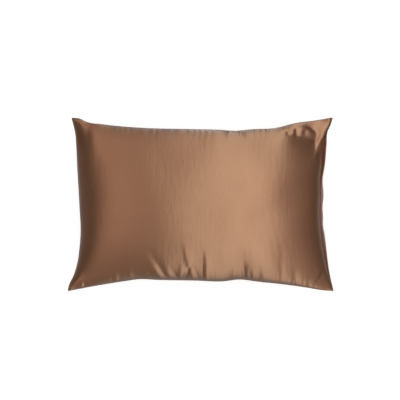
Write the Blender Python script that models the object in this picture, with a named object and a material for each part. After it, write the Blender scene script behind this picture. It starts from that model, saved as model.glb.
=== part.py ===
"""Satin pillowcase filled by its pillow, lying on its back.

Two pieces of cloth make the case. The front panel turns in at the right end
as a flap, and its solid holds the bulk of the filled case: the crown, the
drawn-in sides and the pointed corners. The back panel is a thin sheet that
follows the underside and ends in a hem, which stands proud of the front
panel's turned edge at the open right end.

Metres, +Z up. X runs along the case, Y across it, and the origin is on the
surface that the case lies on, under the middle of its box.
"""

import math

import bpy
import numpy as np

# Corners of the sewn outline, seen from above
CORNERS = {
    "left_bottom": (-0.3619, -0.2349),
    "right_bottom": (0.3604, -0.2349),
    "left_top": (-0.3496, 0.2356),
    "right_top": (0.3585, 0.2356),
}

# Heights above the surface: of the seam at mid side and at each corner, and
# how far the front rises over it and the back would hang under it
SEAM_HEIGHT = 0.072
CORNER_HEIGHTS = {
    "left_bottom": 0.030,
    "right_bottom": 0.036,
    "left_top": 0.040,
    "right_top": 0.050,
}
FRONT_RISE = 0.108
BACK_DROP = 0.096
FLOOR_ROUNDING = 0.012

# Cloth, and the clearance that two pieces lying on each other keep
CLOTH = 0.0015
CLEARANCE = 0.0003

# The front's edge lies this far over the seam line, and the back's this far under it
FRONT_EDGE = 0.0018
BACK_EDGE = 0.0006

# Open right end: how far the front's turned edge is set back, and from which u
MOUTH = 0.0032
MOUTH_START = 0.86

# Cross-section of the filled case: (1 - |u|^FULLNESS)^ROUNDNESS, and the same in v
FULLNESS = 2.6
ROUNDNESS = 0.52

# Higher powers keep the flat ears, and the droop of the corners, closer to the tips
EAR_POWER = 6.0
CORNER_REACH = 3.0

# Each edge: share of the way along it, and how far it is drawn in
TOP_EDGE = (
    (0.00, 0.0000),
    (0.03, 0.0015),
    (0.06, 0.0105),
    (0.12, 0.0168),
    (0.20, 0.0236),
    (0.30, 0.0285),
    (0.46, 0.0294),
    (0.56, 0.0315),
    (0.63, 0.0360),
    (0.69, 0.0315),
    (0.78, 0.0268),
    (0.86, 0.0125),
    (0.93, 0.0078),
    (1.00, 0.0000),
)
BOTTOM_EDGE = (
    (0.00, 0.0000),
    (0.05, 0.0060),
    (0.12, 0.0150),
    (0.21, 0.0256),
    (0.27, 0.0313),
    (0.34, 0.0288),
    (0.48, 0.0273),
    (0.58, 0.0260),
    (0.65, 0.0298),
    (0.71, 0.0246),
    (0.80, 0.0174),
    (0.90, 0.0074),
    (0.96, 0.0015),
    (1.00, 0.0000),
)
LEFT_EDGE = (
    (0.00, 0.0000),
    (0.03, 0.0015),
    (0.09, 0.0150),
    (0.17, 0.0246),
    (0.25, 0.0288),
    (0.34, 0.0305),
    (0.48, 0.0266),
    (0.70, 0.0172),
    (0.84, 0.0136),
    (0.90, 0.0106),
    (1.00, 0.0000),
)
RIGHT_EDGE = (
    (0.00, 0.0000),
    (0.06, 0.0060),
    (0.15, 0.0150),
    (0.25, 0.0228),
    (0.34, 0.0288),
    (0.45, 0.0322),
    (0.55, 0.0306),
    (0.64, 0.0314),
    (0.73, 0.0248),
    (0.84, 0.0210),
    (0.92, 0.0150),
    (0.96, 0.0050),
    (1.00, 0.0000),
)

# Hem of the open end: share of the way up it, how far it stands out, how far it rises
HEM = (
    (0.00, 0.0014, 0.0008),
    (0.08, 0.0020, 0.0018),
    (0.20, 0.0052, 0.0045),
    (0.33, 0.0064, 0.0062),
    (0.38, 0.0046, 0.0050),
    (0.43, 0.0062, 0.0062),
    (0.48, 0.0048, 0.0050),
    (0.56, 0.0062, 0.0062),
    (0.64, 0.0044, 0.0055),
    (0.72, 0.0054, 0.0066),
    (0.84, 0.0058, 0.0070),
    (0.92, 0.0038, 0.0045),
    (0.96, 0.0018, 0.0016),
    (1.00, 0.0014, 0.0008),
)

# Folds of the front: start x, start y, end x, end y, half width, height
FOLDS = (
    (-0.134, -0.130, -0.104, -0.200, 0.014, 0.0045),
    (-0.116, -0.130, -0.086, -0.200, 0.013, -0.0055),
    (-0.048, -0.100, -0.031, -0.200, 0.014, -0.0060),
    (-0.018, -0.130, -0.026, -0.200, 0.012, 0.0030),
    (0.012, -0.118, 0.011, -0.200, 0.014, -0.0060),
    (0.038, -0.140, 0.034, -0.200, 0.013, 0.0030),
    (0.084, -0.150, 0.084, -0.204, 0.012, -0.0035),
    (0.113, -0.130, 0.124, -0.206, 0.014, -0.0060),
    (0.138, -0.145, 0.139, -0.206, 0.012, 0.0030),
    (0.157, -0.150, 0.157, -0.210, 0.014, -0.0050),
    (0.235, 0.214, 0.231, 0.168, 0.012, -0.0055),
    (0.259, 0.216, 0.255, 0.166, 0.011, -0.0055),
    (0.285, 0.218, 0.279, 0.162, 0.012, -0.0060),
    (0.296, 0.216, 0.312, 0.192, 0.011, -0.0050),
    (0.350, 0.222, 0.306, 0.115, 0.016, 0.0080),
    (0.350, 0.190, 0.332, 0.100, 0.013, -0.0050),
    (-0.342, 0.219, -0.308, 0.192, 0.012, -0.0045),
    (-0.356, -0.217, -0.324, -0.192, 0.012, -0.0045),
    (0.306, -0.220, 0.326, -0.180, 0.011, 0.0035),
    (0.324, -0.224, 0.338, -0.190, 0.011, -0.0040),
)

# A trough takes no more than this share of the filled depth, and a ridge
# fades where the case is thinner than EAR_DEPTH
DEEPEST_FOLD = 0.35
THINNEST = 0.0003
EAR_DEPTH = 0.012

# Grid of the underside. The front has twice as many cells each way. The rest
# of the spacing, past EVEN_SHARE, follows a sine, which draws cells to the seams.
COLUMNS = 38
ROWS = 25
HEM_COLUMNS = 2
EVEN_SHARE = 0.4

SATIN = (0.305, 0.150, 0.084, 1.0)
SATIN_BACK = (0.270, 0.130, 0.072, 1.0)
SATIN_ROUGHNESS = 0.38


def clear_scene():
    for obj in list(bpy.data.objects):
        bpy.data.objects.remove(obj)


def through(table, column, at):
    """A smooth curve through the rows of a table: cubic between rows, with each row's own slope."""
    rows = np.array(table)
    share = rows[:, 0]
    value = rows[:, column]
    slope = np.gradient(value, share)
    after = np.clip(np.searchsorted(share, at), 1, len(share) - 1)
    before = after - 1
    width = share[after] - share[before]
    t = (at - share[before]) / width
    return (
        value[before] * (1 + 2 * t) * (1 - t) ** 2
        + value[after] * (3 - 2 * t) * t**2
        + slope[before] * width * t * (1 - t) ** 2
        - slope[after] * width * t**2 * (1 - t)
    )


def edge_points(start, end, inward, table, share):
    """Points of one sewn edge: on the line from corner to corner, moved inward by the table."""
    a = np.array(CORNERS[start])
    b = np.array(CORNERS[end])
    drawn_in = through(table, 1, share)
    return a + (b - a) * share[..., None] + np.array(inward) * drawn_in[..., None]


def plan(u, v):
    """Where the cloth's point (u, v), each from -1 to 1, lies seen from above.

    A Coons patch: it meets all four sewn edges and blends between them.
    """
    s = (u + 1) / 2
    t = (v + 1) / 2
    bottom = edge_points("left_bottom", "right_bottom", (0, 1), BOTTOM_EDGE, s)
    top = edge_points("left_top", "right_top", (0, -1), TOP_EDGE, s)
    left = edge_points("left_bottom", "left_top", (1, 0), LEFT_EDGE, t)
    right = edge_points("right_bottom", "right_top", (-1, 0), RIGHT_EDGE, t)
    s = s[..., None]
    t = t[..., None]
    corner = {name: np.array(place) for name, place in CORNERS.items()}
    flat = (
        (1 - s) * (1 - t) * corner["left_bottom"]
        + s * (1 - t) * corner["right_bottom"]
        + (1 - s) * t * corner["left_top"]
        + s * t * corner["right_top"]
    )
    return (1 - t) * bottom + t * top + (1 - s) * left + s * right - flat


def seam_height(u, v):
    """Height of the sewn edge, which droops towards each corner."""
    height = np.full(np.shape(u), SEAM_HEIGHT)
    for name, corner_height in CORNER_HEIGHTS.items():
        side_u = 1 if name.startswith("right") else -1
        side_v = 1 if name.endswith("top") else -1
        nearness = ((1 + side_u * u) * (1 + side_v * v) / 4) ** CORNER_REACH
        height += (corner_height - SEAM_HEIGHT) * nearness
    return height


def fill(u, v):
    """Share of the full depth: 1 in the middle, 0 on the seam, and little in the ears."""
    along = np.maximum(1 - np.abs(u) ** FULLNESS, 0) ** ROUNDNESS
    across = np.maximum(1 - np.abs(v) ** FULLNESS, 0) ** ROUNDNESS
    return along * across * (1 - np.abs(u * v) ** EAR_POWER)


def on_floor(height):
    """Height, but never under the floor, rounded where the cloth comes down onto it."""
    rounded = (height + FLOOR_ROUNDING) ** 2 / (4 * FLOOR_ROUNDING)
    lifted = np.where(height > FLOOR_ROUNDING, height, rounded)
    return np.where(height < -FLOOR_ROUNDING, 0.0, lifted)


def fold_height(x, y):
    """Sum of the front's folds: soft ridges and troughs, each along its own line."""
    total = np.zeros_like(x)
    for x0, y0, x1, y1, half_width, height in FOLDS:
        run = np.array((x1 - x0, y1 - y0))
        share = ((x - x0) * run[0] + (y - y0) * run[1]) / run.dot(run)
        share = np.clip(share, 0, 1)
        distance = np.hypot(x - x0 - share * run[0], y - y0 - share * run[1])
        total += height * np.clip(1 - (distance / half_width) ** 2, 0, 1) ** 2
    return total


def spread(count):
    """count + 1 values from -1 to 1, closer together towards both ends."""
    even = np.linspace(-1, 1, count + 1)
    return EVEN_SHARE * even + (1 - EVEN_SHARE) * np.sin(even * math.pi / 2)


def under_points():
    """Grid of the back panel's outer face, with the hem's columns past the right edge."""
    u, v = np.meshgrid(spread(COLUMNS), spread(ROWS), indexing="ij")
    place = plan(u, v)
    height = on_floor(seam_height(u, v) - BACK_EDGE - BACK_DROP * fill(u, v))
    grid = np.dstack((place, height))
    share = (v[-1] + 1) / 2
    reach = np.stack(
        (through(HEM, 1, share), np.zeros_like(share), through(HEM, 2, share)), axis=-1
    )
    steps = [grid[-1] + reach * step / HEM_COLUMNS for step in range(1, HEM_COLUMNS + 1)]
    return np.concatenate((grid, np.array(steps)))


def front_points():
    """Grid of the front, twice as fine as the underside, with the folds in it.

    Its right edge is set back from the hem by the width of the mouth.
    """
    u, v = np.meshgrid(spread(2 * COLUMNS), spread(2 * ROWS), indexing="ij")
    place = plan(u, v)
    set_back = np.clip((u - MOUTH_START) / (1 - MOUTH_START), 0, 1) ** 2
    place[..., 0] -= MOUTH * set_back * (1 - np.abs(v) ** 8)
    seam = seam_height(u, v)
    height = seam + FRONT_EDGE + FRONT_RISE * fill(u, v)
    depth = (FRONT_RISE + BACK_DROP) * fill(u, v)
    fold = fold_height(place[..., 0], place[..., 1])
    deepest = DEEPEST_FOLD * depth + THINNEST
    trough = -deepest * np.tanh(np.maximum(-fold, 0) / deepest)
    height += np.maximum(fold, 0) * np.tanh(depth / EAR_DEPTH) + trough
    return np.dstack((place, height))


def grid_faces(shape, first, upward):
    """Triangles over a grid of points, all split along the same diagonal."""
    index = first + np.arange(shape[0] * shape[1]).reshape(shape[:2])
    a = index[:-1, :-1].ravel()
    b = index[1:, :-1].ravel()
    c = index[1:, 1:].ravel()
    d = index[:-1, 1:].ravel()
    faces = np.concatenate((np.stack((a, b, c), 1), np.stack((a, c, d), 1)))
    return faces if upward else faces[:, ::-1]


def rim_index(shape, first):
    """Indices round a grid's border, anticlockwise seen from above."""
    index = first + np.arange(shape[0] * shape[1]).reshape(shape[:2])
    return np.concatenate(
        (index[:-1, 0], index[-1, :-1], index[:0:-1, -1], index[0, :0:-1])
    )


def rim_faces(fine, coarse):
    """Triangles from a border to a lower one that has half as many points."""
    start = fine[0::2]
    middle = fine[1::2]
    end = np.roll(start, -1)
    low_end = np.roll(coarse, -1)
    return np.concatenate(
        (
            np.stack((coarse, middle, start), 1),
            np.stack((coarse, low_end, middle), 1),
            np.stack((low_end, end, middle), 1),
        )
    )


def satin(name, colour):
    material = bpy.data.materials.new(name)
    material.use_nodes = True
    shader = material.node_tree.nodes["Principled BSDF"]
    shader.inputs["Base Color"].default_value = colour
    shader.inputs["Roughness"].default_value = SATIN_ROUGHNESS
    shader.inputs["Metallic"].default_value = 0.0
    return material


def add_object(name, points, faces, material):
    mesh = bpy.data.meshes.new(name)
    mesh.from_pydata(points.tolist(), [], faces.tolist())
    mesh.shade_smooth()
    mesh.materials.append(material)
    obj = bpy.data.objects.new(name, mesh)
    bpy.context.scene.collection.objects.link(obj)
    return obj


def add_back_panel(under):
    """The back panel: a sheet on the underside, thickened inwards."""
    back = add_object(
        "back_panel",
        under.reshape(-1, 3),
        grid_faces(under.shape, 0, upward=False),
        satin("satin_back", SATIN_BACK),
    )
    cloth = back.modifiers.new("cloth", "SOLIDIFY")
    cloth.thickness = CLOTH
    cloth.offset = -1.0
    cloth.use_even_offset = False
    return back


def inner_face(back, shape):
    """The face that the filling rests on: the underside moved inwards, without its hem."""
    normals = np.empty(len(back.data.vertices) * 3)
    back.data.vertex_normals.foreach_get("vector", normals)
    points = np.empty_like(normals)
    back.data.vertices.foreach_get("co", points)
    inside = points.reshape(shape) - normals.reshape(shape) * (CLOTH + CLEARANCE)
    return inside[:-HEM_COLUMNS]


def add_front_panel(back, shape):
    """The front panel with the bulk of the filled case, as one closed solid."""
    inside = inner_face(back, shape)
    front = front_points()
    first = front.shape[0] * front.shape[1]
    faces = np.concatenate(
        (
            grid_faces(front.shape, 0, upward=True),
            grid_faces(inside.shape, first, upward=False),
            rim_faces(rim_index(front.shape, 0), rim_index(inside.shape, first)),
        )
    )
    points = np.concatenate((front.reshape(-1, 3), inside.reshape(-1, 3)))
    return add_object("front_panel", points, faces, satin("satin_front", SATIN))


def main():
    clear_scene()
    under = under_points()
    back = add_back_panel(under)
    add_front_panel(back, under.shape)


main()
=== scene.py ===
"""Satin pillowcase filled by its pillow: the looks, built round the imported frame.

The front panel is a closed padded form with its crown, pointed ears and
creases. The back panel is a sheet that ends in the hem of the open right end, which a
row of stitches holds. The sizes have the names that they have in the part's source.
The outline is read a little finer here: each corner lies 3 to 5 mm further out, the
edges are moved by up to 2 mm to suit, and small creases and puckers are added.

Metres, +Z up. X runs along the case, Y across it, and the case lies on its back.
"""

import math

import bpy
import numpy as np
from bpy.props import FloatProperty, FloatVectorProperty, PointerProperty
from bpy.types import Operator, Panel, PropertyGroup
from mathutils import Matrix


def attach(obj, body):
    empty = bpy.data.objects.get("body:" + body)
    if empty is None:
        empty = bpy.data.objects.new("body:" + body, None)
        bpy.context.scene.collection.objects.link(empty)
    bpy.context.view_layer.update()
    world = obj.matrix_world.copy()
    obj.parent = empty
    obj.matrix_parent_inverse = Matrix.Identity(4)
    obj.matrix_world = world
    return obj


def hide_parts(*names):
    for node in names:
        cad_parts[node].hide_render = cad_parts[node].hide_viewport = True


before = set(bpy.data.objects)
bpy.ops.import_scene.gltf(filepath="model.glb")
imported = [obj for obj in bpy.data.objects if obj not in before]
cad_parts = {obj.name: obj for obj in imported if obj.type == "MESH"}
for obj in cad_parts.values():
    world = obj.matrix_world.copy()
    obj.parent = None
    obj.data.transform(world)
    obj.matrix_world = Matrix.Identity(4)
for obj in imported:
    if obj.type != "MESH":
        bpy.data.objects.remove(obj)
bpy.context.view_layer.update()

bl_info = {
    "name": "Satin pillowcase",
    "version": (1, 0, 0),
    "blender": (4, 5, 0),
    "location": "3D View > Sidebar > Pillowcase",
    "description": "Filled satin pillowcase with its creases, hem and stage",
    "category": "Add Mesh",
}

MILLIMETRE = 0.001

# Corners of the sewn outline, seen from above
CORNERS = {
    "left_bottom": (-0.3639, -0.2383),
    "right_bottom": (0.3642, -0.2379),
    "left_top": (-0.3530, 0.2374),
    "right_top": (0.3606, 0.2376),
}

# Height of each corner's tip above the surface that the case lies on
CORNER_HEIGHTS = {
    "left_bottom": 0.030,
    "right_bottom": 0.036,
    "left_top": 0.040,
    "right_top": 0.050,
}

# Each edge: share of the way along it, and how far it is drawn in
TOP_EDGE = (
    (0.00, 0.0000),
    (0.03, 0.0022),
    (0.06, 0.0119),
    (0.12, 0.0186),
    (0.20, 0.0249),
    (0.30, 0.0297),
    (0.46, 0.0324),
    (0.56, 0.0341),
    (0.63, 0.0369),
    (0.69, 0.0330),
    (0.78, 0.0293),
    (0.86, 0.0154),
    (0.93, 0.0087),
    (1.00, 0.0000),
)
BOTTOM_EDGE = (
    (0.00, 0.0000),
    (0.05, 0.0074),
    (0.12, 0.0170),
    (0.21, 0.0278),
    (0.27, 0.0338),
    (0.34, 0.0321),
    (0.48, 0.0303),
    (0.58, 0.0280),
    (0.65, 0.0330),
    (0.71, 0.0275),
    (0.80, 0.0203),
    (0.90, 0.0101),
    (0.96, 0.0025),
    (1.00, 0.0000),
)
LEFT_EDGE = (
    (0.00, 0.0000),
    (0.03, 0.0022),
    (0.09, 0.0152),
    (0.17, 0.0262),
    (0.25, 0.0310),
    (0.34, 0.0334),
    (0.48, 0.0293),
    (0.70, 0.0207),
    (0.84, 0.0155),
    (0.90, 0.0125),
    (1.00, 0.0000),
)
RIGHT_EDGE = (
    (0.00, 0.0000),
    (0.06, 0.0074),
    (0.15, 0.0177),
    (0.25, 0.0259),
    (0.34, 0.0314),
    (0.45, 0.0347),
    (0.55, 0.0330),
    (0.64, 0.0333),
    (0.73, 0.0276),
    (0.84, 0.0229),
    (0.92, 0.0169),
    (0.96, 0.0060),
    (1.00, 0.0000),
)

# Hem of the open end: share of the way up it, how far it stands out, how far it rises
HEM = (
    (0.00, 0.0014, 0.0008),
    (0.08, 0.0020, 0.0018),
    (0.20, 0.0052, 0.0045),
    (0.33, 0.0064, 0.0062),
    (0.38, 0.0046, 0.0050),
    (0.43, 0.0062, 0.0062),
    (0.48, 0.0048, 0.0050),
    (0.56, 0.0062, 0.0062),
    (0.64, 0.0044, 0.0055),
    (0.72, 0.0054, 0.0066),
    (0.84, 0.0058, 0.0070),
    (0.92, 0.0038, 0.0045),
    (0.96, 0.0018, 0.0016),
    (1.00, 0.0014, 0.0008),
)

# How much of the dull reverse shows inside the open end: share of the way up it, and how
# much. Its paler colour is also a painted reflection of the floor, strongest in the middle,
# and where the share falls towards the ends it is painted shade from the front's fold.
# The rest of the hem is rolled, so that its satin side shows.
REVERSE_SHARES_AND_PAINTED_LIGHT = (
    (0.00, 0.10),
    (0.20, 0.30),
    (0.36, 0.80),
    (0.50, 1.00),
    (0.59, 1.00),
    (0.64, 0.50),
    (0.69, 0.12),
    (0.80, 0.08),
    (1.00, 0.05),
)

# Creases of the front, from the seam inwards: start x, start y, end x, end y, how far
# the middle bows to the left, half width at the start and end, height (a trough's is
# below nought), softness (small is a sharp line), lean (above nought is steeper on the
# right of its way), and 1 where it also fades in at its start. Without the 1 it runs on
# past its start, to the seam.
CREASES = (
    (-0.098, -0.209, -0.157, -0.118, 0.0000, 0.0070, 0.0080, 0.0008, 1.0, 0.0, 0),
    (-0.085, -0.206, -0.148, -0.106, 0.0000, 0.0065, 0.0100, -0.0020, 0.9, 0.0, 0),
    (-0.057, -0.209, -0.090, -0.156, 0.0000, 0.0050, 0.0070, -0.0010, 0.8, 0.0, 0),
    (-0.018, -0.200, -0.048, -0.080, 0.0040, 0.0075, 0.0100, 0.0014, 0.8, -0.45, 0),
    (-0.046, -0.205, -0.016, -0.145, 0.0000, 0.0045, 0.0055, -0.0016, 0.7, 0.0, 0),
    (-0.053, -0.209, -0.047, -0.140, 0.0000, 0.0060, 0.0060, 0.0010, 0.8, 0.0, 0),
    (-0.003, -0.209, -0.028, -0.152, 0.0000, 0.0045, 0.0065, -0.0012, 0.7, 0.0, 0),
    (0.0080, -0.205, 0.008, -0.114, 0.0000, 0.0040, 0.0050, -0.0009, 0.5, 0.0, 0),
    (0.0150, -0.209, 0.014, -0.110, 0.0000, 0.0095, 0.0110, 0.0025, 0.7, -0.4, 0),
    (-0.086, -0.209, -0.098, -0.145, 0.0000, 0.0080, 0.0090, 0.0012, 0.9, 0.0, 0),
    (0.034, -0.212, 0.034, -0.172, 0.0000, 0.0050, 0.0060, -0.0005, 0.8, 0.0, 0),
    (0.091, -0.212, 0.089, -0.152, 0.0000, 0.0045, 0.0060, -0.0006, 0.8, 0.0, 0),
    (0.101, -0.211, 0.099, -0.160, 0.0000, 0.0040, 0.0050, -0.0007, 0.7, 0.0, 0),
    (0.119, -0.211, 0.111, -0.142, -0.0022, 0.0050, 0.0070, -0.0020, 0.7, 0.0, 0),
    (0.136, -0.211, 0.132, -0.166, 0.0000, 0.0045, 0.0055, -0.0011, 0.7, 0.0, 0),
    (0.158, -0.212, 0.154, -0.150, 0.0000, 0.0070, 0.0080, -0.0017, 0.9, 0.0, 0),
    (-0.229, -0.217, -0.226, -0.146, 0.0000, 0.0045, 0.0060, 0.0005, 1.0, 0.0, 0),
    (-0.186, -0.209, -0.196, -0.158, 0.0000, 0.0050, 0.0070, 0.0006, 1.0, 0.0, 0),
    (-0.122, -0.209, -0.152, -0.158, 0.0000, 0.0050, 0.0070, -0.0010, 0.8, 0.0, 0),
    (0.222, -0.217, 0.219, -0.080, 0.0020, 0.0060, 0.0110, -0.0007, 0.9, 0.0, 0),
    (0.261, -0.223, 0.253, -0.163, 0.0000, 0.0060, 0.0090, -0.0010, 1.0, 0.0, 0),
    (0.238, 0.205, 0.237, 0.182, 0.0000, 0.0070, 0.0080, -0.0020, 0.7, 0.3, 1),
    (0.261, 0.210, 0.261, 0.178, 0.0000, 0.0080, 0.0090, -0.0036, 0.7, 0.3, 1),
    (0.285, 0.207, 0.286, 0.180, 0.0000, 0.0080, 0.0090, -0.0030, 0.7, 0.3, 1),
    (0.281, 0.216, 0.309, 0.154, 0.0250, 0.0095, 0.0120, -0.0060, 0.9, 0.10, 1),
    (0.318, 0.177, 0.212, 0.197, 0.0000, 0.0190, 0.0120, -0.0054, 0.9, 0.45, 0),
    (0.078, 0.197, 0.073, 0.167, 0.0000, 0.0060, 0.0070, -0.0008, 0.8, 0.0, 0),
    (0.111, 0.197, 0.116, 0.165, 0.0000, 0.0060, 0.0070, -0.0009, 0.8, 0.0, 0),
    (0.354, 0.230, 0.299, 0.100, -0.0015, 0.0115, 0.0120, 0.0104, 0.3, -0.6, 0),
    (0.325, 0.204, 0.296, 0.092, 0.0000, 0.0100, 0.0160, -0.0056, 0.8, -0.4, 1),
    (-0.348, 0.231, -0.300, 0.206, 0.0000, 0.0070, 0.0090, 0.0032, 0.5, 0.35, 0),
    (-0.293, 0.222, -0.280, 0.095, 0.0000, 0.0230, 0.0220, 0.0054, 1.0, 0.0, 0),
    (-0.358, -0.229, -0.314, -0.186, 0.0000, 0.0070, 0.0090, 0.0055, 0.5, -0.35, 0),
    (-0.325, -0.226, -0.318, -0.202, 0.0000, 0.0040, 0.0050, 0.0020, 0.5, 0.3, 0),
    (0.331, -0.176, 0.300, -0.226, 0.0000, 0.0060, 0.0080, 0.0008, 0.8, 0.0, 1),
    (0.339, -0.176, 0.310, -0.224, 0.0000, 0.0055, 0.0075, -0.0012, 0.8, 0.0, 1),
)

# Along a crease: the share of its way up to which it keeps its full height, and the
# shares between which one that fades in does so. Across it: how fast it dies away.
CREASE_KEEPS = 0.25
CREASE_FADE_IN = (-0.05, 0.30)
CREASE_FALL = 1.5

# Lumps of the filling under the front, in millimetres: rows from the top edge to the
# bottom, columns from left to right, evenly spaced over LUMP_AREA (half its two sides)
LUMPS = (
    (1.3, 0.5, -0.9, -0.5, 0.4, 0.3, 0.5, 2.5, 1.3, -0.4, -0.3, -2.0, -0.5),
    (0.8, 0.2, 0.5, -0.3, -0.9, -0.2, 0.8, 0.9, 0.0, -0.8, -0.3, -1.1, 0.2),
    (0.2, 0.0, 0.5, 0.8, -0.1, 0.3, 0.6, 0.1, -1.1, -0.4, 0.0, 0.2, -0.3),
    (-0.6, 0.6, 0.5, 0.6, 0.2, 0.3, 0.1, -0.5, -0.5, 0.1, 0.4, -1.2, 0.4),
    (0.0, 0.5, 0.3, -0.2, 0.3, 0.1, -0.3, -0.5, 0.1, -1.5, -1.0, 0.0, 1.8),
    (0.8, 0.4, 0.2, 0.3, 0.4, 0.3, -0.2, -1.3, -0.3, -1.6, -0.5, 0.6, 0.5),
    (0.4, 0.3, -0.3, 1.0, 0.0, 0.0, 0.1, -1.3, -0.6, 0.7, -0.1, -0.5, 0.5),
    (0.0, -0.4, 0.0, 2.3, 2.1, 0.4, -0.6, -1.9, -0.9, 0.2, 0.3, -0.8, 0.1),
)
LUMP_AREA = (0.30, 0.175)
LUMP_REACH = 0.031

# Small gathers along the seams: 1 for the top seam or -1 for the bottom one, from x,
# to x, spacing, height, and how far in they reach
GATHERS = (
    (-1, -0.265, -0.190, 0.0165, 0.0003, 0.018),
    (-1, -0.200, -0.120, 0.0085, 0.0006, 0.005),
    (-1, -0.130, 0.030, 0.0110, 0.0005, 0.007),
    (-1, 0.100, 0.180, 0.0120, 0.0006, 0.010),
    (-1, 0.190, 0.330, 0.0125, 0.0004, 0.014),
    (1, 0.080, 0.200, 0.0120, 0.0007, 0.012),
    (1, -0.250, 0.060, 0.0200, 0.0003, 0.012),
)

# Distance over which a row of gathers starts and stops
GATHER_ENDS = 0.02

# Puckers of the back beside the two long seams: 1 for the top or -1 for the bottom,
# spacing, height, and how far in they reach
BACK_PUCKERS = (
    (1, 0.0230, 0.0013, 0.020),
    (1, 0.0410, 0.0010, 0.030),
    (-1, 0.0210, 0.0014, 0.018),
    (-1, 0.0370, 0.0011, 0.028),
)

# Gathers and puckers are uneven: how many turns their waves wander by, the number of
# spacings after which the wandering and the swelling come round, and how much they swell
WANDER = 0.35
GATHER_BEATS = (5.3, 3.7)
GATHER_SWELL = 0.5
PUCKER_BEATS = (4.3, 3.1)
PUCKER_SWELL = 0.4

# Distance from the seam over which ridges and puckers rise, and depth of the filling
# over which troughs and lumps do
RISE_FROM_SEAM = 0.008
TROUGH_DEPTH = 0.02
LUMP_DEPTH = 0.10

# Power that keeps what belongs to one side off the ears at its two ends
EAR_CUT = 8

# Open end: u from which the front's turned edge is set back, and u that the hem adds
MOUTH_FROM = 0.86
HEM_U = 0.02

# Rolled edge of the front: u or v from which a point is on it, radius at the seams and
# how much more at the open end, angles of its rings, then the shares of the flap's way
# with a ring each, how far it runs in at the seams too, and how far it drops
ON_EDGE = 0.9999
ROLL_RADIUS = 0.0003
MOUTH_RADIUS = 0.0011
ROLL_ANGLES = (45, 90, 135, 180)
FLAP_SHARES = (0.5, 1.0)
FLAP_RUN_IN = 0.0004
FLAP_DROP = 0.0002

# Gap between the front's hidden face and the back's inner face, and the distance from
# the seam that the hidden face is given for its finish
FILLING_GAP = 0.0006
FAR_FROM_SEAM = 0.1

# The doubled hem: how much thicker it is, and the distance over which it steps up
HEM_THICKER = 0.5
HEM_STEP = 0.002

# Cells of each grid. The rest of the spacing, past EVEN_SHARE, follows a sine,
# which draws cells to the seams.
FRONT_CELLS = (312, 208)
INNER_SHARE = 4
BACK_CELLS = (260, 104)
HEM_COLUMNS = 6
EVEN_SHARE = 0.4

# Stitches of the hem: bare ends of their row, half length as a share of the pitch, how
# far a thread's middle stands off the hem, its sides, and for each ring round it the
# share of the half length where it is and its share of the thread's width
STITCH_MARGIN = 0.02
STITCH_HALF = 0.40
STITCH_STAND = 0.0001
STITCH_SIDES = 6
STITCH_RINGS = ((-0.62, 0.8), (0.0, 1.0), (0.62, 0.8))

# How far each way in u and v the front's hidden inner face reaches
INNER_REACH = {"left": 0.985, "right": 0.93, "side": 0.975}

# Noises of the satin: how often each repeats in a metre along the case and across it
WARP = (1300.0, 22.0, 1.0)
WEFT = (30.0, 1500.0, 1.0)
CLOUDS = (9.0, 12.0, 1.0)
DRAPE = (85.0, 16.0, 1.0)
RIPPLE = (260.0, 60.0, 1.0)

# What they do: shares of the warp, the weft and the clouds in the slub colour, less a
# start, then shares of the warp, the weft and the ripple in the relief beside the
# drape, and what the clouds and the warp add to the roughness, less a start
SLUB_SHARES = (0.45, 0.25, 0.50)
SLUB_START = 0.10
RELIEF_SHARES = (0.12, 0.08, 0.40)
ROUGHNESS_SHARES = (0.06, 0.03)
ROUGHNESS_START = 0.04

# Worn line at the seams: its width, how much lighter it is, how much of it shows, and
# how much rougher it is. The dull reverse: how much rougher, and its mirrored share.
# The back panel's colour as a share of the front's: painted shade, as it hangs in its shade.
WORN_WIDTH = 0.0045
WORN_LIGHTER = 1.12
WORN_SHARE = 0.35
WORN_ROUGHER = 0.10
REVERSE_ROUGHER = 0.30
REVERSE_METALLIC = 0.10
BACK_SHADE = 0.92

# Sewing thread: repeats of its twist in a metre, its darkest and lightest share of the
# satin's colour, and its least roughness and how much the twist adds
TWIST = (900.0, 4000.0, 900.0)
THREAD_SHADES = (0.60, 0.85)
THREAD_ROUGHNESS = (0.45, 0.15)

# Floor: half its side, its height just under the case, colour, grain and roughness
FLOOR_HALF = 9.0
FLOOR_HEIGHT = -0.0004
FLOOR_COLOUR = (0.90, 0.90, 0.90)
FLOOR_GRAIN = (3.0, 3.0, 3.0)
FLOOR_GRAIN_SHADE = 0.99
FLOOR_ROUGHNESS = 0.9
FLOOR_SPECULAR = 0.2

# Point, at about the height of the seams, that the camera looks down on, and the
# width of its sensor in millimetres
VIEW_CENTRE = (-0.0011, 0.0119, 0.065)
SENSOR_WIDTH = 36.0

# Light tent, as leans of the mirroring cloth in degrees: each panel's lean to the right
# and its brightness there
FILL_PANEL = (
    (-90, 0.00),
    (-37, 0.00),
    (-33, 0.10),
    (-29, 0.31),
    (-24, 0.72),
    (-18, 0.82),
    (-12, 0.58),
    (-7, 0.42),
    (-2, 0.30),
    (2, 0.00),
    (90, 0.00),
)
KEY_PANEL = (
    (-90, 0.00),
    (-5, 0.00),
    (-2, 0.90),
    (2, 1.38),
    (8, 1.66),
    (12, 1.22),
    (16, 0.40),
    (20, 0.00),
    (90, 0.00),
)
SIDE_PANEL = (
    (-90, 0.00),
    (6, 0.00),
    (14, 0.40),
    (20, 0.48),
    (26, 0.32),
    (36, 0.13),
    (48, 0.03),
    (90, 0.02),
)

# How each panel fades: share that it loses, 1 for leans upwards or -1 for leans
# downwards, and the leans between which it does
FILL_FADES = ((0.55, -1, 0, 30), (0.65, -1, 25, 60), (0.60, 1, 34, 58))
KEY_FADES = ((0.10, -1, 22, 50),)
SIDE_FADES = ((0.74, 1, 6, 30), (0.45, -1, 18, 45))

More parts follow.
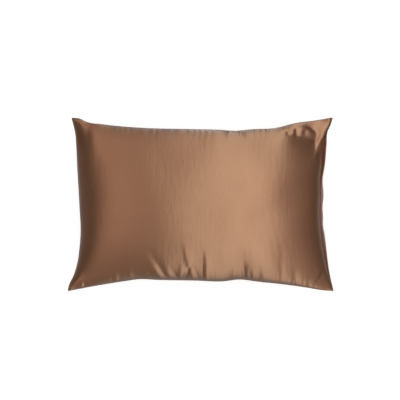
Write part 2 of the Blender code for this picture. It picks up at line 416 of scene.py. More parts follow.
# The fill panel slants: its shift for each degree upwards, from the first lean to the
# left and in full from the second
FILL_SLANT = 0.15
FILL_SLANT_LEANS = (15, 30)

# A gleam in the key panel's upper end: leans to the right where it comes and goes, then
# its share and the leans upwards between which it rises
GLEAM_COMES = (1, 5)
GLEAM_GOES = (17, 22)
GLEAM_RISE = (0.30, 48, 66)

# The low part of the tent, which stands for the pale floor: heights below the middle
# between which it starts, the share that the gleam keeps clear of it, and the share
# that comes up far to the left, each with its leans
LOW_FROM = (0.12, 0.78)
GLEAM_CLEARS = (0.75, 25, 50)
LOW_AT_LEFT = (0.35, 34, 52)

# The low part is dimmed at both sides, but not in the middle, and at the bottom
MIDDLE_LEANS = (6, 20)
DIM_AT_SIDES = (0.60, 28, 45)
DIM_AT_BOTTOM = (0.25, 30, 55)

FILL_COLOUR = (1.00, 0.87, 0.86)
KEY_COLOUR = (1.00, 1.08, 1.11)
SIDE_COLOUR = (1.00, 0.86, 0.90)
TENT_DARK = (0.068, 0.037, 0.032)
TENT_LOW = (0.34, 0.39, 0.46)
TENT_RADIUS = 4.0
TENT_CELLS = (240, 160)
TENT_POLE = 0.002

# Half of the flat cloth's length along the case and half of its width across it
HALF_CUT = (0.38, 0.255)


class CaseSizes(PropertyGroup):
    """Sizes of the filled case."""

    seam_height: FloatProperty(
        name="Seam height",
        description="Height of the seam in the middle of each side",
        default=0.072,
        unit="LENGTH",
    )
    front_rise: FloatProperty(
        name="Front rise",
        description="How far the crown stands over the seam",
        default=0.108,
        unit="LENGTH",
    )
    back_drop: FloatProperty(
        name="Back drop",
        description="How far the back would hang under the seam without the surface",
        default=0.096,
        unit="LENGTH",
    )
    floor_rounding: FloatProperty(
        name="Floor rounding",
        description="Height over which the back rounds down onto the surface",
        default=0.012,
        unit="LENGTH",
    )
    fullness: FloatProperty(
        name="Fullness",
        description="Power of the cross-section: higher is squarer",
        default=2.6,
    )
    roundness: FloatProperty(
        name="Roundness",
        description="Root of the cross-section: lower is steeper at the seams",
        default=0.52,
    )
    ear_power: FloatProperty(
        name="Ear power",
        description="Higher keeps the flat ears closer to the tips",
        default=6.0,
    )
    corner_reach: FloatProperty(
        name="Corner reach",
        description="Higher keeps the droop of the corners closer to the tips",
        default=3.0,
    )
    front_edge: FloatProperty(
        name="Front edge",
        description="Height of the front's edge over the seam line",
        default=0.0018,
        unit="LENGTH",
    )
    rim_puff: FloatProperty(
        name="Rim puff",
        description="How far the front swells just inside its seam, over the turned-in cloth",
        default=0.0030,
        unit="LENGTH",
    )
    rim_width: FloatProperty(
        name="Rim width",
        description="Distance from the seam over which it swells",
        default=0.0040,
        unit="LENGTH",
    )
    back_edge: FloatProperty(
        name="Back edge",
        description="Depth of the back's outer face under the seam line",
        default=0.0006,
        unit="LENGTH",
    )
    cloth: FloatProperty(
        name="Cloth",
        description="Thickness of the back panel",
        default=0.0014,
        unit="LENGTH",
    )
    hem_width: FloatProperty(
        name="Hem width",
        description="Width of the doubled hem at the open end",
        default=0.022,
        unit="LENGTH",
    )
    hem_swell: FloatProperty(
        name="Hem swell",
        description="How far the doubled hem stands out of the back's outer face",
        default=0.0004,
        unit="LENGTH",
    )
    stitch_inset: FloatProperty(
        name="Stitch inset",
        description="Distance of the row of stitches inside the hem's fold",
        default=0.0020,
        unit="LENGTH",
    )
    stitch_pitch: FloatProperty(
        name="Stitch pitch",
        description="Length of one stitch and the gap after it",
        default=0.0032,
        unit="LENGTH",
    )
    thread: FloatProperty(
        name="Thread",
        description="Width of the sewing thread",
        default=0.0006,
        unit="LENGTH",
    )
    mouth: FloatProperty(
        name="Mouth",
        description="How far the front's turned edge is set back from the hem's root",
        default=0.0018,
        unit="LENGTH",
    )
    mouth_lift: FloatProperty(
        name="Mouth lift",
        description="How far the front's turned edge is lifted off the back",
        default=0.0022,
        unit="LENGTH",
    )
    flap: FloatProperty(
        name="Flap",
        description="How far the front's flap is modelled behind its turned edge",
        default=0.013,
        unit="LENGTH",
    )


class SatinFinish(PropertyGroup):
    """Colour and gloss of the satin."""

    colour: FloatVectorProperty(
        name="Colour",
        description="Satin where it is plain",
        default=(0.400, 0.216, 0.124),
        size=3,
        subtype="COLOR",
    )
    slub_colour: FloatVectorProperty(
        name="Slub colour",
        description="Satin along its thicker threads",
        default=(0.362, 0.190, 0.107),
        size=3,
        subtype="COLOR",
    )
    # Paler and greyer than the satin: the dull reverse's own colour, and also a painted
    # reflection of the floor inside the hem.
    reverse_and_reflection_colour: FloatVectorProperty(
        name="Reverse colour",
        description="Dull reverse of the satin, which shows inside the hem",
        default=(0.620, 0.490, 0.430),
        size=3,
        subtype="COLOR",
    )
    roughness: FloatProperty(
        name="Roughness",
        description="Spread of the sheen",
        default=0.29,
        subtype="FACTOR",
    )
    drape: FloatProperty(
        name="Drape",
        description="Depth of the faint upright waves in the cloth",
        default=0.00035,
        unit="LENGTH",
    )
    metallic: FloatProperty(
        name="Sheen depth",
        description="Share of the light that the floats of the weave mirror",
        default=0.80,
        subtype="FACTOR",
    )


class StageSizes(PropertyGroup):
    """Camera and lights."""

    distance: FloatProperty(
        name="Camera distance",
        description="From the camera down to about the height of the seams",
        default=5.0,
        unit="LENGTH",
    )
    width: FloatProperty(
        name="View width",
        description="Width of the picture at the height of the seams",
        default=1.091,
        unit="LENGTH",
    )
    floor_glow: FloatProperty(
        name="Floor glow",
        description="Light that the pale floor gives off, so that it stays white",
        default=0.70,
    )
    room: FloatProperty(
        name="Room",
        description="Brightness of the pale room",
        default=0.65,
    )


class Value:
    """A number in a material: an operator on it adds a Math node."""

    def __init__(self, nodes, socket):
        self.nodes = nodes
        self.socket = socket

    def math(self, operation, first, second):
        node = self.nodes.add(
            "ShaderNodeMath", {"operation": operation}, {0: first, 1: second}
        )
        return Value(self.nodes, node.outputs[0])

    def __add__(self, other):
        return self.math("ADD", self, other)

    def __radd__(self, other):
        return self.math("ADD", other, self)

    def __sub__(self, other):
        return self.math("SUBTRACT", self, other)

    def __rsub__(self, other):
        return self.math("SUBTRACT", other, self)

    def __mul__(self, other):
        return self.math("MULTIPLY", self, other)

    def __rmul__(self, other):
        return self.math("MULTIPLY", other, self)


class Nodes:
    """The nodes of one material."""

    def __init__(self, name):
        self.material = bpy.data.materials.new(name)
        self.material.use_nodes = True
        self.tree = self.material.node_tree
        self.shader = self.tree.nodes["Principled BSDF"]

    def feed(self, node, inputs):
        """Sets or links each named input of a node."""
        for key, value in inputs.items():
            if isinstance(value, Value):
                self.tree.links.new(value.socket, node.inputs[key])
            elif isinstance(value, bpy.types.NodeSocket):
                self.tree.links.new(value, node.inputs[key])
            else:
                node.inputs[key].default_value = value

    def add(self, kind, settings=None, inputs=None):
        """Adds a node: its settings first, then its inputs."""
        node = self.tree.nodes.new(kind)
        for key, value in (settings or {}).items():
            setattr(node, key, value)
        self.feed(node, inputs or {})
        return node

    def noise(self, coordinates, scale, detail=2.0):
        """Noise from 0 to 1 on coordinates that are first multiplied by scale."""
        stretched = self.add(
            "ShaderNodeVectorMath",
            {"operation": "MULTIPLY"},
            {0: coordinates, 1: scale},
        )
        texture = self.add(
            "ShaderNodeTexNoise",
            {"noise_dimensions": "3D"},
            {"Vector": stretched.outputs[0], "Scale": 1.0, "Detail": detail},
        )
        return Value(self, texture.outputs[0])

    def mix(self, factor, first, second):
        """Colour from first to second by factor."""
        node = self.add(
            "ShaderNodeMix",
            {"data_type": "RGBA", "clamp_factor": True},
            {0: factor, 6: first, 7: second},
        )
        return node.outputs[2]


def smooth_step(value, start, end):
    """0 up to start, 1 from end, and 3t² - 2t³ between them."""
    t = np.clip((value - start) / (end - start), 0, 1)
    return t * t * (3 - 2 * t)


def eased(value, share, start, end):
    """0 up to start, and from there smoothly up to share at end."""
    return share * smooth_step(value, start, end)


def off_ears(along):
    """1 in the middle of a side and 0 at its two ears: 1 less |along| to a high power."""
    return 1 - np.abs(along) ** EAR_CUT


def uneven_wave(x, spacing, beats):
    """A sine along x whose turns wander by a slower sine, and a third sine for its swelling."""
    wandering = WANDER * np.sin(2 * math.pi * x / (beats[0] * spacing))
    swelling = np.sin(2 * math.pi * x / (beats[1] * spacing))
    return np.sin(2 * math.pi * (x / spacing + wandering)), swelling


def through(table, column, at):
    """A smooth curve through a table's rows: cubic between rows, with each row's own slope.

    The cubic is Hermite's, from the two rows' values and slopes.
    """
    rows = np.array(table)
    share = rows[:, 0]
    value = rows[:, column]
    slope = np.gradient(value, share)
    after = np.clip(np.searchsorted(share, at), 1, len(share) - 1)
    before = after - 1
    width = share[after] - share[before]
    t = (at - share[before]) / width
    return (
        value[before] * (1 + 2 * t) * (1 - t) ** 2
        + value[after] * (3 - 2 * t) * t**2
        + slope[before] * width * t * (1 - t) ** 2
        - slope[after] * width * t**2 * (1 - t)
    )


def edge_points(start, end, inward, table, share):
    """Points of one sewn edge: on the line from corner to corner, moved inward by the table."""
    a = np.array(CORNERS[start])
    b = np.array(CORNERS[end])
    drawn_in = through(table, 1, share)
    return a + (b - a) * share[..., None] + np.array(inward) * drawn_in[..., None]


def plan(u, v):
    """Where the cloth's point (u, v), each from -1 to 1, lies seen from above.

    A Coons patch: the two blends between facing edges, less the blend of the corners.
    """
    s = (u + 1) / 2
    t = (v + 1) / 2
    bottom = edge_points("left_bottom", "right_bottom", (0, 1), BOTTOM_EDGE, s)
    top = edge_points("left_top", "right_top", (0, -1), TOP_EDGE, s)
    left = edge_points("left_bottom", "left_top", (1, 0), LEFT_EDGE, t)
    right = edge_points("right_bottom", "right_top", (-1, 0), RIGHT_EDGE, t)
    s = s[..., None]
    t = t[..., None]
    corner = {name: np.array(place) for name, place in CORNERS.items()}
    flat = (
        (1 - s) * (1 - t) * corner["left_bottom"]
        + s * (1 - t) * corner["right_bottom"]
        + (1 - s) * t * corner["left_top"]
        + s * t * corner["right_top"]
    )
    return (1 - t) * bottom + t * top + (1 - s) * left + s * right - flat


def seam_height(sizes, u, v):
    """Height of the sewn edge: level, less a droop towards each corner.

    The droop grows with a power of the nearness, which is 1 in the corner.
    """
    height = np.full(np.shape(u), sizes.seam_height)
    for name, corner_height in CORNER_HEIGHTS.items():
        side_u = 1 if name.startswith("right") else -1
        side_v = 1 if name.endswith("top") else -1
        nearness = ((1 + side_u * u) * (1 + side_v * v) / 4) ** sizes.corner_reach
        height += (corner_height - sizes.seam_height) * nearness
    return height


def fill(sizes, u, v):
    """Share of the full depth: (1 - |u|^f)^r times the same in v, and little in the ears."""
    along = np.maximum(1 - np.abs(u) ** sizes.fullness, 0) ** sizes.roundness
    across = np.maximum(1 - np.abs(v) ** sizes.fullness, 0) ** sizes.roundness
    return along * across * (1 - np.abs(u * v) ** sizes.ear_power)


def on_floor(sizes, height):
    """Height, but never under the floor: a parabola rounds it where the cloth comes down."""
    rounding = sizes.floor_rounding
    rounded = (height + rounding) ** 2 / (4 * rounding)
    lifted = np.where(height > rounding, height, rounded)
    return np.where(height < -rounding, 0.0, lifted)


def spread(count):
    """count + 1 values from -1 to 1: an even share plus a sine, closer towards both ends."""
    even = np.linspace(-1, 1, count + 1)
    return EVEN_SHARE * even + (1 - EVEN_SHARE) * np.sin(even * math.pi / 2)


def face_normals(points):
    """Unit normals of a grid: the cross product of its steps along and across."""
    along = np.gradient(points, axis=0)
    across = np.gradient(points, axis=1)
    normals = np.cross(along, across)
    return normals / np.linalg.norm(normals, axis=-1, keepdims=True)


def crease_depth(x, y):
    """Sum of the creases, each a soft V or ridge across its own bowed line.

    Across the line it is exp(f (a - sqrt(q² + a²))) with q the distance in half widths,
    a the softness and f the fall. Along the line it keeps its height for its first
    share and then falls to 0 at its end.
    """
    total = np.zeros_like(x)
    for x0, y0, x1, y1, bow, start, end, height, softness, lean, fades_in in CREASES:
        run = np.array((x1 - x0, y1 - y0))
        length = np.hypot(*run)
        across = np.array((-run[1], run[0])) / length
        share = ((x - x0) * run[0] + (y - y0) * run[1]) / length**2
        held = np.clip(share, 0, 1)
        side = (x - x0) * across[0] + (y - y0) * across[1] - 4 * bow * held * (1 - held)
        width = (start + (end - start) * held) * (1 + lean * np.sign(side))
        q = side / width
        profile = np.exp(CREASE_FALL * (softness - np.sqrt(q**2 + softness**2)))
        taper = 1 - smooth_step(share, CREASE_KEEPS, 1.0)
        if fades_in:
            taper = taper * smooth_step(share, *CREASE_FADE_IN)
        total += height * profile * taper
    return total


def lump_height(x, y):
    """Sum of the filling's lumps, each a bell: height times exp(-(dx² + dy²) / 2 reach²)."""
    total = np.zeros_like(x)
    rows = np.linspace(LUMP_AREA[1], -LUMP_AREA[1], len(LUMPS))
    columns = np.linspace(-LUMP_AREA[0], LUMP_AREA[0], len(LUMPS[0]))
    for y0, row in zip(rows, LUMPS):
        for x0, height in zip(columns, row):
            away = ((x - x0) ** 2 + (y - y0) ** 2) / LUMP_REACH**2
            total += MILLIMETRE * height * np.exp(-away / 2)
    return total


def gather_height(x, v):
    """Gathers: an uneven sine along each seam that dies away inwards as exp(-d / reach)."""
    total = np.zeros_like(x)
    for side, first, last, spacing, height, reach in GATHERS:
        inwards = (1 - side * v) * HALF_CUT[1]
        wave, swelling = uneven_wave(x, spacing, GATHER_BEATS)
        starts = smooth_step(x, first, first + GATHER_ENDS)
        stops = 1 - smooth_step(x, last - GATHER_ENDS, last)
        wave = wave * (1 + GATHER_SWELL * swelling) * starts * stops
        total += height * wave * np.exp(-inwards / reach)
    return total


def front_surface(sizes, u, v):
    """The front's outer face: plan, seam and fill, then the creases along its normals."""
    place = plan(u, v)
    back_set = smooth_step(u, MOUTH_FROM, 1.0) * off_ears(v)
    place[..., 0] -= sizes.mouth * back_set
    inside = seam_distance(u, v)
    height = seam_height(sizes, u, v) + sizes.front_edge
    height += sizes.mouth_lift * back_set + sizes.front_rise * fill(sizes, u, v)
    height += sizes.rim_puff * (1 - np.exp(-((inside / sizes.rim_width) ** 2)))
    smooth = np.dstack((place, height))
    depth = (sizes.front_rise + sizes.back_drop) * fill(sizes, u, v)
    x = place[..., 0]
    y = place[..., 1]
    crease = crease_depth(x, y) + gather_height(x, v)
    trough_room = smooth_step(depth, 0, TROUGH_DEPTH)
    ridge_room = smooth_step(inside, 0, RISE_FROM_SEAM)
    crease = crease * np.where(crease < 0, trough_room, ridge_room)
    crease += lump_height(x, y) * smooth_step(depth, 0, LUMP_DEPTH)
    return smooth + face_normals(smooth) * crease[..., None]


def grid_index(shape, first=0):
    """Indices of a grid's points."""
    return first + np.arange(shape[0] * shape[1]).reshape(shape[:2])


def grid_faces(index, upward):
    """Four-sided faces over a grid of indices."""
    a = index[:-1, :-1].ravel()
    b = index[1:, :-1].ravel()
    c = index[1:, 1:].ravel()
    d = index[:-1, 1:].ravel()
    faces = np.stack((a, b, c, d), 1)
    return faces if upward else faces[:, ::-1]


def border(index):
    """The border of a grid, anticlockwise seen from above."""
    return np.concatenate(
        (index[:-1, 0], index[-1, :-1], index[:0:-1, -1], index[0, :0:-1])
    )


def band_faces(upper, lower):
    """Four-sided faces from a closed ring to the one below it, facing outwards."""
    upper_next = np.roll(upper, -1)
    lower_next = np.roll(lower, -1)
    return np.stack((upper, lower, lower_next, upper_next), 1)


def fan_faces(fine, coarse):
    """Triangles from a fine ring to a lower one with a quarter as many points."""
    f0, f1, f2, f3 = (fine[k::INNER_SHARE] for k in range(INNER_SHARE))
    f4 = np.roll(f0, -1)
    ahead = np.roll(coarse, -1)
    return np.concatenate(
        (
            np.stack((coarse, f1, f0), 1),
            np.stack((coarse, f2, f1), 1),
            np.stack((coarse, ahead, f2), 1),
            np.stack((ahead, f3, f2), 1),
            np.stack((ahead, f4, f3), 1),
        )
    )


def add_piece(name, points, faces, cloth, marks, material):
    """Adds a mesh with its flat-cloth UV map and a number for each point under each mark."""
    mesh = bpy.data.meshes.new(name)
    mesh.from_pydata(points.tolist(), [], [f for part in faces for f in part.tolist()])
    corner = np.empty(len(mesh.loops), np.int32)
    mesh.loops.foreach_get("vertex_index", corner)
    uv = mesh.uv_layers.new(name="cloth")
    uv.data.foreach_set("uv", cloth[corner].astype(np.float32).ravel())
    for mark, values in marks.items():
        attribute = mesh.attributes.new(mark, "FLOAT", "POINT")
        attribute.data.foreach_set("value", values.astype(np.float32))
    mesh.shade_smooth()
    mesh.materials.append(material)
    piece = bpy.data.objects.new(name, mesh)
    bpy.context.scene.collection.objects.link(piece)
    return piece


def cloth_place(u, v):
    """Place on the flat cloth, in metres."""
    return np.stack((u * HALF_CUT[0], v * HALF_CUT[1]), -1)


def seam_distance(u, v):
    """Distance on the flat cloth from the nearest edge, in metres."""
    return np.minimum((1 - np.abs(u)) * HALF_CUT[0], (1 - np.abs(v)) * HALF_CUT[1])


def back_surface(sizes, u, v):
    """The back's outer face: the same plan and seam, hanging down onto the floor."""
    height = seam_height(sizes, u, v) - sizes.back_edge
    height = on_floor(sizes, height - sizes.back_drop * fill(sizes, u, v))
    return np.dstack((plan(u, v), height))


def pucker_height(x, v):
    """Puckers of the back: uneven bulges, 0 at the seam, dying away as exp(-d / reach)."""
    total = np.zeros_like(x)
    for side, spacing, height, reach in BACK_PUCKERS:
        inwards = (1 - side * v) * HALF_CUT[1]
        wave, swelling = uneven_wave(x, spacing, PUCKER_BEATS)
        bulge = (1 + wave) / 2 * (1 - PUCKER_SWELL + PUCKER_SWELL * swelling)
        rise = smooth_step(inwards, 0, RISE_FROM_SEAM)
        total += height * bulge * rise * np.exp(-inwards / reach)
    return total


def back_with_hem(sizes):
    """The back's outer face with its hem, its u and v, and each point's way to the hem's edge.

    The puckers stand out along its normals, and nothing goes under the floor.
    """
    u, v = np.meshgrid(*(spread(n) for n in BACK_CELLS), indexing="ij")
    grid = back_surface(sizes, u, v)
    puckers = pucker_height(grid[..., 0], v) * off_ears(u)
    grid -= face_normals(grid) * puckers[..., None]
    grid[..., 2] = np.maximum(grid[..., 2], 0)
    share = (v[-1] + 1) / 2
    reach = np.stack(
        (through(HEM, 1, share), np.zeros_like(share), through(HEM, 2, share)),
        axis=-1,
    )
    steps = np.linspace(0, 1, HEM_COLUMNS + 1)[1:, None, None]
    outer = np.concatenate((grid, grid[-1] + reach * steps))
    hem_u = 1 + steps[..., 0] * HEM_U * np.ones_like(v[-1])
    u = np.concatenate((u, hem_u))
    v = np.concatenate((v, np.broadcast_to(v[-1], hem_u.shape)))
    run = np.linalg.norm(np.diff(outer, axis=0), axis=-1)
    to_edge = np.concatenate(
        (np.cumsum(run[::-1], axis=0)[::-1], np.zeros((1, run.shape[1])))
    )
    return outer, u, v, to_edge


def row_at(values, to_edge, distance):
    """A grid's values along the row that lies a given way from the hem's edge."""
    column = np.arange(to_edge.shape[1])
    before = (to_edge > distance).sum(axis=0) - 1
    far = to_edge[before, column]
    near = to_edge[before + 1, column]
    share = ((far - distance) / (far - near))[:, None]
    return values[before, column] * (1 - share) + values[before + 1, column] * share


def shaded(colour, share=1.0):
    """A colour times a share, with full opacity."""
    return [*[c * share for c in colour], 1.0]


def satin(name, finish, shade):
    """Satin: thicker threads, a rippled relief, a worn line at the edges and a matt wrong side,
    whose mark also paints a reflection and shade inside the hem. The shade argument darkens the
    colour: painted shade.
    """
    nodes = Nodes(name)
    cloth = nodes.add("ShaderNodeUVMap", {"uv_map": "cloth"}).outputs[0]
    edge = nodes.add("ShaderNodeAttribute", {"attribute_name": "seam_distance"})
    worn = nodes.add(
        "ShaderNodeMapRange",
        {"interpolation_type": "SMOOTHSTEP"},
        {0: edge.outputs["Fac"], 1: 0.0, 2: WORN_WIDTH, 3: 1.0, 4: 0.0},
    )
    worn = Value(nodes, worn.outputs[0])
    warp = nodes.noise(cloth, WARP)
    weft = nodes.noise(cloth, WEFT)
    clouds = nodes.noise(cloth, CLOUDS, detail=3.0)
    drape = nodes.noise(cloth, DRAPE, detail=3.0)
    ripple = nodes.noise(cloth, RIPPLE)

    slub = warp * SLUB_SHARES[0] + weft * SLUB_SHARES[1] + clouds * SLUB_SHARES[2] - SLUB_START
    threads = nodes.mix(slub, shaded(finish.colour, shade), shaded(finish.slub_colour, shade))
    worn_colour = shaded(finish.colour, shade * WORN_LIGHTER)
    colour = nodes.mix(worn * WORN_SHARE, threads, worn_colour)
    roughness = finish.roughness - ROUGHNESS_START + clouds * ROUGHNESS_SHARES[0]
    roughness = roughness + warp * ROUGHNESS_SHARES[1] + worn * WORN_ROUGHER

    # Mark where the dull reverse shows inside the hem; its share also paints a reflection of the
    # floor there, and shade.
    reverse_and_painted_light = nodes.add("ShaderNodeAttribute", {"attribute_name": "reverse_and_painted_light"})
    reverse_and_painted_light = Value(nodes, reverse_and_painted_light.outputs["Fac"])
    relief = warp * RELIEF_SHARES[0] + weft * RELIEF_SHARES[1] + ripple * RELIEF_SHARES[2]
    bump = nodes.add(
        "ShaderNodeBump",
        inputs={"Height": relief + drape, "Strength": 1.0, "Distance": finish.drape},
    )
    nodes.feed(
        nodes.shader,
        {
            "Base Color": nodes.mix(reverse_and_painted_light, colour, shaded(finish.reverse_and_reflection_colour)),
            "Roughness": roughness + reverse_and_painted_light * REVERSE_ROUGHER,
            "Metallic": finish.metallic - reverse_and_painted_light * (finish.metallic - REVERSE_METALLIC),
            "Normal": bump.outputs[0],
        },
    )
    return nodes.material


def thread(name, finish):
    """Sewing thread: the satin's colour, a little darker, with a fine twist."""
    nodes = Nodes(name)
    place = nodes.add("ShaderNodeTexCoord").outputs["Object"]
    twist = nodes.noise(place, TWIST)
    dark, light = (shaded(finish.colour, share) for share in THREAD_SHADES)
    nodes.feed(
        nodes.shader,
        {
            "Base Color": nodes.mix(twist, dark, light),
            "Roughness": THREAD_ROUGHNESS[0] + twist * THREAD_ROUGHNESS[1],
        },
    )
    return nodes.material


class PILLOWCASE_OT_front_panel(Operator):
    """Build the front panel: the filled form with its creases and turned-in flap"""

    bl_idname = "pillowcase.front_panel"
    bl_label = "Front panel"

    def execute(self, context):
        sizes = context.scene.pillowcase_sizes
        u, v = np.meshgrid(*(spread(n) for n in FRONT_CELLS), indexing="ij")
        front = front_surface(sizes, u, v)
        index = grid_index(front.shape)
        ring = border(index)

        points = [front.reshape(-1, 3)]
        cloth = [cloth_place(u, v).reshape(-1, 2)]
        edge = [seam_distance(u, v).ravel()]
        faces = [grid_faces(index, upward=True)]

        # The edge rolls under; at the open end it is a wider roll that runs in as the flap
        rim_u = u.ravel()[ring]
        rim_v = v.ravel()[ring]
        top = front.reshape(-1, 3)[ring]
        open_end = (rim_u > ON_EDGE) * off_ears(rim_v)
        radius = ROLL_RADIUS + MOUTH_RADIUS * open_end
        outward = np.stack(
            (
                rim_u * (np.abs(rim_u) > ON_EDGE),
                rim_v * (np.abs(rim_v) > ON_EDGE),
                0 * rim_u,
            ),
            -1,
        )
        outward /= np.linalg.norm(outward, axis=-1, keepdims=True)
        down = np.array((0.0, 0.0, -1.0))
        count = front.shape[0] * front.shape[1]
        last = ring
        place = cloth_place(rim_u, rim_v)
        rings = []
        for angle in np.radians(ROLL_ANGLES):
            out = radius * math.sin(angle)
            drop = radius * (1 - math.cos(angle))
            rings.append(top + outward * out[:, None] + down * drop[:, None])
        rolled = rings[-1]
        for share in FLAP_SHARES:
            run_in = share * (sizes.flap * open_end + FLAP_RUN_IN)
            rings.append(rolled - outward * run_in[:, None] + down * FLAP_DROP * share)
        for ring_points in rings:
            this = count + np.arange(len(ring))
            points.append(ring_points)
            cloth.append(place)
            edge.append(np.zeros(len(ring)))
            faces.append(band_faces(last, this))
            count += len(ring)
            last = this

        # The hidden face that the filling rests on, over the back panel
        inner_u, inner_v = np.meshgrid(
            *(spread(n // INNER_SHARE) for n in FRONT_CELLS), indexing="ij"
        )
        reach = np.where(inner_u > 0, INNER_REACH["right"], INNER_REACH["left"])
        inner_u = inner_u * reach
        inner_v = inner_v * INNER_REACH["side"]
        under = back_surface(sizes, inner_u, inner_v)
        inner = under + face_normals(under) * (sizes.cloth + FILLING_GAP)
        inner_index = grid_index(inner.shape, count)
        points.append(inner.reshape(-1, 3))
        cloth.append(cloth_place(inner_u, inner_v).reshape(-1, 2))
        edge.append(np.full(inner_u.size, FAR_FROM_SEAM))
        faces.append(grid_faces(inner_index, upward=False))
        faces.append(fan_faces(last, border(inner_index)))

        piece = add_piece(
            "front_satin",
            np.concatenate(points),
            faces,
            np.concatenate(cloth),
            {"seam_distance": np.concatenate(edge)},
            satin("front_satin", context.scene.pillowcase_finish, 1.0),
        )
        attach(piece, "root")
        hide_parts("front_panel")
        return {"FINISHED"}


class PILLOWCASE_OT_back_panel(Operator):
    """Build the back panel: a sheet on the underside that ends in the doubled hem"""

    bl_idname = "pillowcase.back_panel"
    bl_label = "Back panel"

    def execute(self, context):
        sizes = context.scene.pillowcase_sizes
        outer, u, v, to_edge = back_with_hem(sizes)
        doubled = 1 - smooth_step(to_edge, sizes.hem_width, sizes.hem_width + HEM_STEP)
        thickness = sizes.cloth * (1 + HEM_THICKER * doubled)
        outer_normals = face_normals(outer)
        swell = sizes.hem_swell * doubled * smooth_step(to_edge, 0, HEM_STEP)
        outer = outer - outer_normals * swell[..., None]
        inner = outer + outer_normals * thickness[..., None]

        index = grid_index(outer.shape)
        inner_index = grid_index(inner.shape, index.size)
        faces = [
            grid_faces(index, upward=False),
            grid_faces(inner_index, upward=True),
            band_faces(border(inner_index), border(index)),
        ]
        flat = cloth_place(u, v).reshape(-1, 2)
        edge = np.minimum(to_edge, (1 - np.abs(v)) * HALF_CUT[1]).ravel()
        # The dull reverse's share up the open end: also a painted reflection of the floor in the
        # middle, and painted shade towards the ends.
        reverse_share_and_painted_light = np.interp((v.ravel() + 1) / 2, *np.array(REVERSE_SHARES_AND_PAINTED_LIGHT).T)
        piece = add_piece(
            "back_satin",
            np.concatenate((outer.reshape(-1, 3), inner.reshape(-1, 3))),
            faces,
            np.concatenate((flat, flat)),
            {
                "seam_distance": np.concatenate((edge, edge)),
                "reverse_and_painted_light": np.concatenate((0 * edge, reverse_share_and_painted_light)),
            },
            # BACK_SHADE darkens the back panel's colour: painted shade.
            satin("back_satin", context.scene.pillowcase_finish, BACK_SHADE),
        )
        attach(piece, "root")
        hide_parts("back_panel")
        return {"FINISHED"}


class PILLOWCASE_OT_hem_stitches(Operator):
    """Build the stitches of the hem: a row of thread along the back's outer face"""

    bl_idname = "pillowcase.hem_stitches"
    bl_label = "Hem stitches"

    def execute(self, context):
        sizes = context.scene.pillowcase_sizes
        outer, _, _, to_edge = back_with_hem(sizes)
        way = sizes.hem_width - sizes.stitch_inset
        row = row_at(outer, to_edge, way)
        normals = row_at(-face_normals(outer), to_edge, way)
        steps = np.linalg.norm(np.diff(row, axis=0), axis=1)
        run = np.concatenate(((0.0,), np.cumsum(steps)))
        count = int((run[-1] - 2 * STITCH_MARGIN) / sizes.stitch_pitch)
        at = np.linspace(STITCH_MARGIN, run[-1] - STITCH_MARGIN, count)
        centre = np.stack([np.interp(at, run, row[:, k]) for k in range(3)], 1)
        outward = np.stack([np.interp(at, run, normals[:, k]) for k in range(3)], 1)
        outward /= np.linalg.norm(outward, axis=1, keepdims=True)
        along = np.gradient(centre, axis=0)
        along -= outward * (along * outward).sum(1, keepdims=True)
        along /= np.linalg.norm(along, axis=1, keepdims=True)
        sideways = np.cross(outward, along)

        # One stitch: rings of circles round its length, between two tips
        turn = np.linspace(0, 2 * math.pi, STITCH_SIDES, endpoint=False)
        half = sizes.stitch_pitch * STITCH_HALF
        place, width = np.array(STITCH_RINGS).T[..., None]
        radius = sizes.thread * width / 2
        rings = (place * half, radius * np.cos(turn), radius * np.sin(turn))
        rings = np.stack(np.broadcast_arrays(*rings), -1).reshape(-1, 3)
        shape = np.concatenate(([(-half, 0, 0)], rings, [(half, 0, 0)]))
        points = (
            centre[:, None] + (sizes.hem_swell + STITCH_STAND) * outward[:, None]
            + shape[:, 0, None] * along[:, None]
            + shape[:, 1, None] * sideways[:, None]
            + shape[:, 2, None] * outward[:, None]
        )
        ring = 1 + np.arange(STITCH_SIDES)
        after = np.roll(ring, -1)
        last = len(shape) - 1
        start_tip = np.stack((np.zeros_like(ring), after, ring), 1)
        end_tip = np.stack((np.full_like(ring, last), ring, after), 1)
        end_tip[:, 1:] += 2 * STITCH_SIDES
        side = np.stack((ring, after, after + STITCH_SIDES, ring + STITCH_SIDES), 1)
        side = np.concatenate((side, side + STITCH_SIDES))
        each = (len(shape) * np.arange(count))[:, None, None]
        faces = [(part + each).reshape(-1, part.shape[1]) for part in (start_tip, side, end_tip)]
        points = points.reshape(-1, 3)
        piece = add_piece(
            "hem_stitches",
            points,
            faces,
            np.zeros((len(points), 2)),
            {},
            thread("hem_thread", context.scene.pillowcase_finish),
        )
        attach(piece, "root")
        return {"FINISHED"}


def floor_material(name, glow):
    """The studio floor: pale, with a very faint grain, and lit a little from within."""
    nodes = Nodes(name)
    place = nodes.add("ShaderNodeTexCoord").outputs["Object"]
    grain = nodes.noise(place, FLOOR_GRAIN)
    light = shaded(FLOOR_COLOUR)
    nodes.feed(
        nodes.shader,
        {
            "Base Color": nodes.mix(grain, shaded(FLOOR_COLOUR, FLOOR_GRAIN_SHADE), light),
            "Roughness": FLOOR_ROUGHNESS,
            "Specular IOR Level": FLOOR_SPECULAR,
            "Emission Color": light,
            "Emission Strength": glow,
        },
    )
    return nodes.material


def square(half, height):
    """Corners and face of a level square round the origin, from half its side."""
    corners = np.array([(-1, -1, 0), (1, -1, 0), (1, 1, 0), (-1, 1, 0)]) * half
    return corners + (0, 0, height), np.array([(0, 1, 2, 3)])


def add_stage(name, points, faces, material):
    """Adds a surface of the stage, which isn't part of the object."""
    mesh = bpy.data.meshes.new(name)
    mesh.from_pydata(points.tolist(), [], faces.tolist())
    mesh.shade_smooth()
    mesh.materials.append(material)
    surface = bpy.data.objects.new(name, mesh)
    bpy.context.scene.collection.objects.link(surface)
    return surface


